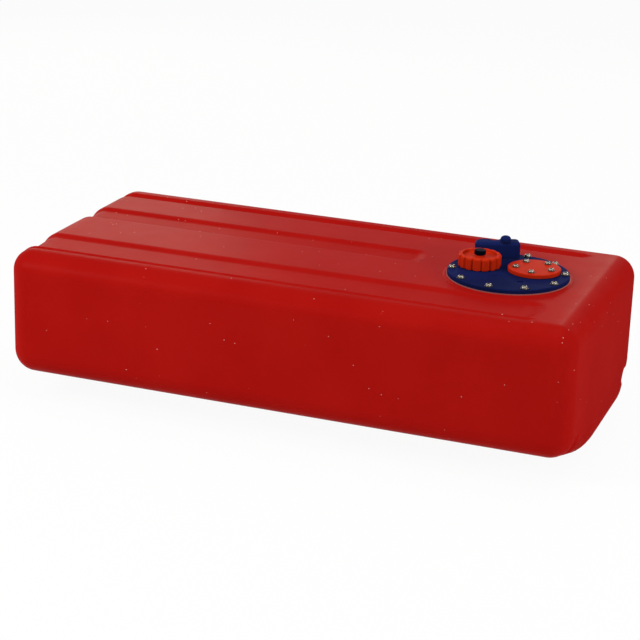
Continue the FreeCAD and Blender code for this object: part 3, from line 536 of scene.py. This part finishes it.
# %% Vent knob
CORE, ROUND_STEPS, LONGEST = 0.05, 72, 1.6
KNOB_RADIUS, KNOB_FOOT, KNOB_TOP = 8.7, 260.8, 267.4
SHANK_RADIUS, SHANK_SHOULDER, SHANK_TIP_RADIUS, SHANK_TIP = 3.0, 247.1, 2.6, 246.4
knob_profile = softened(
    [(SHANK_TIP_RADIUS, SHANK_TIP), (SHANK_RADIUS, SHANK_SHOULDER), (SHANK_RADIUS, KNOB_FOOT),
     (KNOB_RADIUS, KNOB_FOOT), (KNOB_RADIUS, KNOB_TOP), (CORE, KNOB_TOP), (CORE, SHANK_TIP)],
    [0.2, 0, 0, 0.5, 1.3, 0, 0])
knob_grid = lathe(along_profile(knob_profile, LONGEST), FILLER, ROUND_STEPS)
vent_knob = make_piece("vent_knob", [closed_grid(knob_grid, ring=True)],
                       "vent_screw", "knob_navy", ["vent_screw"])

# %% [markdown]
# ## The plug on the outlet block
# A domed plug closes the top of the drilling that leads fuel to the hose. The upper corner of
# its profile is rounded by more than two thirds of the head's radius, which leaves a small
# flat on top.

# %% Plug dome
OUTLET = (259.73, 62.1)
PLUG_RADIUS, PLUG_SEAT, PLUG_TOP = 8.0, 268.9, 277.1
STEM_RADIUS, STEM_FOOT = 4.95, 261.9
plug_profile = softened(
    [(CORE, STEM_FOOT), (STEM_RADIUS, STEM_FOOT), (STEM_RADIUS, PLUG_SEAT),
     (PLUG_RADIUS, PLUG_SEAT), (PLUG_RADIUS, PLUG_TOP), (CORE, PLUG_TOP)],
    [0, 0.3, 0, 0.2, 5.6, 0])
plug_grid = lathe(along_profile(plug_profile, LONGEST), OUTLET, ROUND_STEPS)
plug_dome = make_piece("plug_dome", [closed_grid(plug_grid, ring=True)],
                       "tank", "flange_blue", ["housing_plug"])

# %% [markdown]
# ## Nodes for finishes
# A finish is a small tree of nodes. Painted images would need a layout for every piece, so
# all patterns here are procedural: noise turned into shades, into gloss or into a fine bump.
# They read Object coordinates, so they stay put when a piece moves. These helpers add one
# node each and join it up.

# %% Helpers for nodes
NOISE_LOW, NOISE_HIGH = 0.3, 0.7


def srgb(red, green, blue):
    """A colour picked as 0-255 on a screen, as the linear values that the shader wants."""
    picked = np.array([red, green, blue]) / 255.0
    linear = np.where(picked <= 0.04045, picked / 12.92, ((picked + 0.055) / 1.055) ** 2.4)
    return (*[float(v) for v in linear], 1.0)


def new_finish(name):
    """A material with its node tree, its shader and its Object coordinates."""
    finish = bpy.data.materials.new(name)
    finish.use_nodes = True
    tree = finish.node_tree
    place = tree.nodes.new("ShaderNodeTexCoord").outputs["Object"]
    return finish, tree, tree.nodes["Principled BSDF"], place


def noise(tree, place, scale, detail=2.0, roughness=0.5):
    """Noise of that many features to the metre; returns its 0-1 output."""
    node = tree.nodes.new("ShaderNodeTexNoise")
    node.inputs["Scale"].default_value = scale
    node.inputs["Detail"].default_value = detail
    node.inputs["Roughness"].default_value = roughness
    tree.links.new(place, node.inputs["Vector"])
    return node.outputs["Fac"]


def ramp(tree, value, low, high, start, end):
    """Turn a 0-1 value into a mix of two colours between start and end."""
    node = tree.nodes.new("ShaderNodeValToRGB")
    node.color_ramp.elements[0].position = start
    node.color_ramp.elements[1].position = end
    node.color_ramp.elements[0].color = low
    node.color_ramp.elements[1].color = high
    tree.links.new(value, node.inputs["Fac"])
    return node.outputs["Color"]


def grey_range(tree, value, low, high):
    """Map the middle of a noise to a range, as for roughness."""
    node = tree.nodes.new("ShaderNodeMapRange")
    node.inputs["From Min"].default_value = NOISE_LOW
    node.inputs["From Max"].default_value = NOISE_HIGH
    node.inputs["To Min"].default_value = low
    node.inputs["To Max"].default_value = high
    tree.links.new(value, node.inputs["Value"])
    return node.outputs["Result"]


def worked_out(tree, operation, *values):
    """One math node on sockets or plain numbers."""
    node = tree.nodes.new("ShaderNodeMath")
    node.operation = operation
    for socket, value in zip(node.inputs, values):
        if isinstance(value, float):
            socket.default_value = value
        else:
            tree.links.new(value, socket)
    return node.outputs[0]


def bump(tree, shader, height, distance):
    """Let a height pattern, in metres, tilt the surface as the light sees it."""
    node = tree.nodes.new("ShaderNodeBump")
    node.inputs["Distance"].default_value = distance
    node.inputs["Strength"].default_value = 1.0
    tree.links.new(height, node.inputs["Height"])
    tree.links.new(node.outputs["Normal"], shader.inputs["Normal"])


print("screen grey 128 is", round(srgb(128, 128, 128)[0], 3), "to the shader")

# %% [markdown]
# ## Moulded plastic
# A rotationally moulded tank has an even colour with a slight cloudiness, a skin like fine
# orange peel, and a soft gloss. The colour comes from slow noise that mixes two near shades,
# the skin from a bump of fine noise, and the gloss varies with another slow noise. The tank
# has two things more: its flat ends are matt, and pale specks of dust lie thinly on it. A
# pattern of uneven cells holds one speck in each, and noise picks the patches that show them.

# %% Plastic finish
BLACK, WHITE = (0, 0, 0, 1), (1, 1, 1, 1)
MATT_FROM, MATT_FULL, MATT_GAIN = 0.415, 0.432, (0.4, 0.4, 0.4, 1)
SPECK_CELLS, SPECK_CORE, SPECK_EDGE = 75.0, 0.03, 0.048
PATCH_SCALE, PATCH_FROM, PATCH_FULL, DUST = 21.0, 0.5, 0.52, srgb(232, 205, 200)
CLOUD_SCALE, CLOUD_DETAIL, GLOSS_SCALE = 9.0, 3.0, 30.0
SHADE_FROM, SHADE_FULL = 0.35, 0.65
GRAIN_DETAIL, GRAIN_ROUGHNESS = 2.0, 0.6
PLASTIC_IOR = 1.5


def matt_ends(tree, place, gloss):
    """Roughness that rises from the rounded edges to the flat ends."""
    parts = tree.nodes.new("ShaderNodeSeparateXYZ")
    tree.links.new(place, parts.inputs[0])
    from_middle = worked_out(tree, "ABSOLUTE", parts.outputs["X"])
    ends = ramp(tree, from_middle, BLACK, MATT_GAIN, MATT_FROM, MATT_FULL)
    return worked_out(tree, "ADD", gloss, ends)


def dusted(tree, place, colour):
    """The colour with thinly strewn pale specks."""
    cells = tree.nodes.new("ShaderNodeTexVoronoi")
    cells.inputs["Scale"].default_value = SPECK_CELLS
    tree.links.new(place, cells.inputs["Vector"])
    spot = ramp(tree, cells.outputs["Distance"], WHITE, BLACK, SPECK_CORE, SPECK_EDGE)
    patches = noise(tree, place, PATCH_SCALE, 0.0)
    pick = ramp(tree, patches, BLACK, WHITE, PATCH_FROM, PATCH_FULL)
    mix = tree.nodes.new("ShaderNodeMix")
    mix.data_type = "RGBA"
    mix.inputs[7].default_value = DUST
    tree.links.new(worked_out(tree, "MULTIPLY", spot, pick), mix.inputs[0])
    tree.links.new(colour, mix.inputs[6])
    return mix.outputs[2]


def moulded(name, dark, light, gloss, grain, height, shine, tank=False):
    """Moulded plastic between two shades, with gloss low-high and a skin of fine grain."""
    finish, tree, shader, place = new_finish(name)
    clouds = noise(tree, place, CLOUD_SCALE, CLOUD_DETAIL)
    colour = ramp(tree, clouds, dark, light, SHADE_FROM, SHADE_FULL)
    shift = grey_range(tree, noise(tree, place, GLOSS_SCALE), *gloss)
    if tank:
        colour = dusted(tree, place, colour)
        shift = matt_ends(tree, place, shift)
    tree.links.new(colour, shader.inputs["Base Color"])
    tree.links.new(shift, shader.inputs["Roughness"])
    bump(tree, shader, noise(tree, place, grain, GRAIN_DETAIL, GRAIN_ROUGHNESS), height)
    shader.inputs["IOR"].default_value = PLASTIC_IOR
    shader.inputs["Specular IOR Level"].default_value = shine
    return finish


finishes = {
    "tank_red": moulded("tank red", srgb(159, 16, 12), srgb(164, 19, 14), (0.32, 0.36),
                        900.0, 0.00002, 0.008, tank=True),
    "flange_blue": moulded("flange blue", srgb(16, 24, 64), srgb(22, 32, 82), (0.3, 0.38),
                           1600.0, 0.00003, 0.002),
    "cap_red": moulded("cap red", srgb(178, 36, 12), srgb(190, 42, 15), (0.34, 0.42),
                       1400.0, 0.00003, 0.01),
    "knob_navy": moulded("knob navy", srgb(3, 6, 15), srgb(6, 9, 21), (0.38, 0.46),
                         1600.0, 0.00003, 0.01),
    # The pale pink of this seal is a painted highlight: it draws the thin light line along the
    # rim under the flange.
    "seal_pale": moulded("seal painted highlight", srgb(148, 84, 78), srgb(168, 102, 95), (0.5, 0.6),
                         1500.0, 0.00004, 0.2),
    "seal_rubber": moulded("seal rubber", srgb(14, 14, 15), srgb(24, 24, 25), (0.6, 0.75),
                           1500.0, 0.00005, 0.1),
    "strainer_black": moulded("strainer black", srgb(18, 18, 19), srgb(28, 28, 30), (0.45, 0.6),
                              1500.0, 0.00004, 0.2),
}
print("plastics and rubbers", len(finishes))

# %% [markdown]
# ## Metal
# The screws are bright stainless steel. The washers under them are painted darker, as painted
# shade under the screw heads. The hose spigot and the threaded inserts are brass, and the pickup
# tube is aluminium. A metal's look lies almost wholly in what it mirrors, so its colour is kept
# simple, and fine noise in the gloss and the surface gives it the marks of tools and use.

# %% Metal finish
METAL_SHADE_SCALE, METAL_GLOSS_SCALE = 160.0, 420.0


def plain_metal(name, dark, light, gloss, grain, height):
    """Metal between two shades, with fine marks in its gloss and surface."""
    finish, tree, shader, place = new_finish(name)
    shades = noise(tree, place, METAL_SHADE_SCALE)
    colour = ramp(tree, shades, dark, light, SHADE_FROM, SHADE_FULL)
    tree.links.new(colour, shader.inputs["Base Color"])
    marks = grey_range(tree, noise(tree, place, METAL_GLOSS_SCALE), *gloss)
    tree.links.new(marks, shader.inputs["Roughness"])
    bump(tree, shader, noise(tree, place, grain), height)
    shader.inputs["Metallic"].default_value = 1.0
    return finish


finishes["stainless"] = plain_metal("stainless", srgb(116, 112, 102), srgb(142, 138, 128),
                                    (0.06, 0.12), 900.0, 0.00002)
finishes["brass"] = plain_metal("brass", srgb(176, 140, 74), srgb(206, 168, 96),
                                (0.25, 0.4), 900.0, 0.00002)
finishes["tube_aluminium"] = plain_metal("aluminium", srgb(150, 152, 156), srgb(176, 178, 182),
                                         (0.3, 0.45), 700.0, 0.00003)
# The washer steel is darker than the screws: painted shade under the screw heads.
finishes["washer_steel_painted_shade"] = plain_metal("washer steel painted shade", srgb(52, 50, 46), srgb(74, 72, 66),
                                     (0.3, 0.45), 900.0, 0.00003)
print("finishes", len(finishes))

# %% [markdown]
# ## Every piece gets its finish
# The record of the part names a finish for each solid, so one loop dresses them all. The washers
# are steel like the screws, painted darker as shade under the screw heads. The new pieces take
# the finish that they were given when they were made.

# %% Dress the pieces
slot_of_node = {part["node"]: part["material_slot"] for part in frame["record"]["subparts"]}


def dress(piece, slot):
    """Give a piece one finish all over."""
    piece.data.materials.clear()
    piece.data.materials.append(finishes[slot])


for node_name, node in frame["nodes"].items():
    # Washers take the darker steel, which is painted shade under the screw heads.
    dress(node, "washer_steel_painted_shade" if "washers" in node_name else slot_of_node[node_name])
new_pieces = (tank_body, filler_cap, neck_thread, vent_knob, plug_dome)
for piece in new_pieces:
    dress(piece, piece["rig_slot"])
print("dressed", len(frame["nodes"]), "solids and", len(new_pieces), "new pieces")

# %% [markdown]
# ## Floor and sky
# The object stands on a plain pale floor, as in a catalogue. Lighting the floor until it is
# white would wash the object out. Instead, floor and sky send out white only where the camera
# looks at them, straight or by way of gloss or glass, and light the object as plain pale
# surfaces. The floor keeps a share of its own shading, and with it the tank's shadow.

# %% Floor and sky
FLOOR_HALF, FLOOR_LEVEL, FLOOR_WHITE = 14.0, -0.0005, 0.94
FLOOR_GREY, FLOOR_ROUGHNESS = (0.86, 0.86, 0.86, 1), 0.9
SKY_LIGHT = 0.35


def seen_white(tree, share):
    """A factor that is the share for camera, glossy and transmission rays, and 0 for the rest."""
    ray = tree.nodes.new("ShaderNodeLightPath")
    total = ray.outputs["Is Camera Ray"]
    for kind in ("Is Glossy Ray", "Is Transmission Ray"):
        total = worked_out(tree, "MAXIMUM", total, ray.outputs[kind])
    return worked_out(tree, "MULTIPLY", total, share)


def mixed(tree, factor, plain, white, out):
    """Join two shaders by a factor and send the result out."""
    mix = tree.nodes.new("ShaderNodeMixShader")
    tree.links.new(factor, mix.inputs[0])
    tree.links.new(plain.outputs[0], mix.inputs[1])
    tree.links.new(white.outputs[0], mix.inputs[2])
    tree.links.new(mix.outputs[0], tree.nodes[out].inputs["Surface"])


def add_floor():
    """A large pale square under the object, which takes its shadow and is seen nearly white."""
    mesh = bpy.data.meshes.new("floor")
    corners = [(x * FLOOR_HALF, y * FLOOR_HALF, FLOOR_LEVEL)
               for x, y in ((-1, -1), (1, -1), (1, 1), (-1, 1))]
    mesh.from_pydata(corners, [], [(0, 1, 2, 3)])
    floor = bpy.data.objects.new("floor", mesh)
    bpy.context.scene.collection.objects.link(floor)
    paint = bpy.data.materials.new("floor white")
    paint.use_nodes = True
    tree = paint.node_tree
    shader = tree.nodes["Principled BSDF"]
    shader.inputs["Base Color"].default_value = FLOOR_GREY
    shader.inputs["Roughness"].default_value = FLOOR_ROUGHNESS
    glow = tree.nodes.new("ShaderNodeEmission")
    mixed(tree, seen_white(tree, FLOOR_WHITE), shader, glow, "Material Output")
    mesh.materials.append(paint)


def add_sky():
    """An even pale sky for light, seen as white by the camera and in gloss."""
    world = bpy.data.worlds.new("sky")
    bpy.context.scene.world = world
    world.use_nodes = True
    tree = world.node_tree
    plain = tree.nodes["Background"]
    plain.inputs["Color"].default_value = WHITE
    plain.inputs["Strength"].default_value = SKY_LIGHT
    white = tree.nodes.new("ShaderNodeBackground")
    white.inputs["Strength"].default_value = 1.0
    mixed(tree, seen_white(tree, 1.0), plain, white, "World Output")


add_floor()
add_sky()
print("floor", 2 * FLOOR_HALF, "m wide, sky strength", SKY_LIGHT)

# %% [markdown]
# ## Lamps
# Soft square lamps light the tank from the front left, from above and from the right. Two
# weak warm ones behind it lie where the top mirrors them towards the camera, so they draw the
# soft sheen on the top without lighting the front.

# %% Lamps
PLAIN, WARM = (1.0, 1.0, 1.0), (1.0, 0.9, 0.74)
LAMPS = [  # name, place, aim, side of the square in metres, power in watts, tint
    ("key", (-2.0, -1.9, 1.8), (-0.1, 0, 0.1), 1.1, 57.0, PLAIN),
    ("back", (-1.7, 2.5, 1.1), (-0.2, 0, 0.23), 0.9, 8.5, WARM),
    ("glint", (0.0, 2.8, 1.12), (0.3, 0, 0.23), 0.35, 4.0, WARM),
    ("overhead", (0.5, -0.1, 2.6), (0, 0, 0.2), 1.6, 22.0, PLAIN),
    ("side", (2.9, -0.6, 1.1), (0.3, 0, 0.15), 0.6, 31.0, PLAIN),
]


def add_lamp(name, place, aim, size, power, tint):
    """A square soft lamp at a place, turned to face its aim."""
    light = bpy.data.lights.new(name, "AREA")
    light.size = size
    light.energy = power
    light.color = tint
    lamp = bpy.data.objects.new(name, light)
    bpy.context.scene.collection.objects.link(lamp)
    lamp.location = place
    lamp.rotation_euler = (Vector(aim) - Vector(place)).to_track_quat("-Z", "Y").to_euler()


for lamp_row in LAMPS:
    add_lamp(*lamp_row)
print("lamps", len(LAMPS))

# %% [markdown]
# ## Camera
# The camera stands three metres away, a little to the right and above, with a long lens. Its
# numbers come from fitting a pinhole camera to the outline and the screws in the photograph.
# It leans slightly about its own axis, as the photograph does.

# %% Camera
CAMERA_TARGET = Vector((-0.008499, 0.0, 0.123051))
CAMERA_DISTANCE, CAMERA_AZIMUTH, CAMERA_ELEVATION, CAMERA_ROLL = 2.971252, 20.103, 18.971, 1.894
CAMERA_LENS, SENSOR_WIDTH, FAR_LIMIT = 108.93, 36.0, 100.0


def add_camera():
    """A camera at an azimuth, elevation and distance from its target, rolled about its axis."""
    turn, rise = math.radians(CAMERA_AZIMUTH), math.radians(CAMERA_ELEVATION)
    back = Vector((math.sin(turn) * math.cos(rise), -math.cos(turn) * math.cos(rise),
                   math.sin(rise)))
    right = Vector((0, 0, 1)).cross(back).normalized()
    upright = back.cross(right)
    roll = math.radians(CAMERA_ROLL)
    side = right * math.cos(roll) + upright * math.sin(roll)
    top = upright * math.cos(roll) - right * math.sin(roll)
    data = bpy.data.cameras.new("camera")
    data.lens = CAMERA_LENS
    data.sensor_width = SENSOR_WIDTH
    data.clip_end = FAR_LIMIT
    camera = bpy.data.objects.new("camera", data)
    bpy.context.scene.collection.objects.link(camera)
    place = CAMERA_TARGET + back * CAMERA_DISTANCE
    camera.matrix_world = Matrix([(side.x, top.x, back.x, place.x),
                                  (side.y, top.y, back.y, place.y),
                                  (side.z, top.z, back.z, place.z), (0, 0, 0, 1)])
    bpy.context.scene.camera = camera
    return camera


camera = add_camera()
bpy.context.scene.view_settings.view_transform = "Standard"
print("camera at", [round(v, 4) for v in camera.matrix_world.translation])

# %% [markdown]
# ## Last step
# The scene is brought up to date at the end.

# %% Bring the scene up to date
bpy.context.view_layer.update()
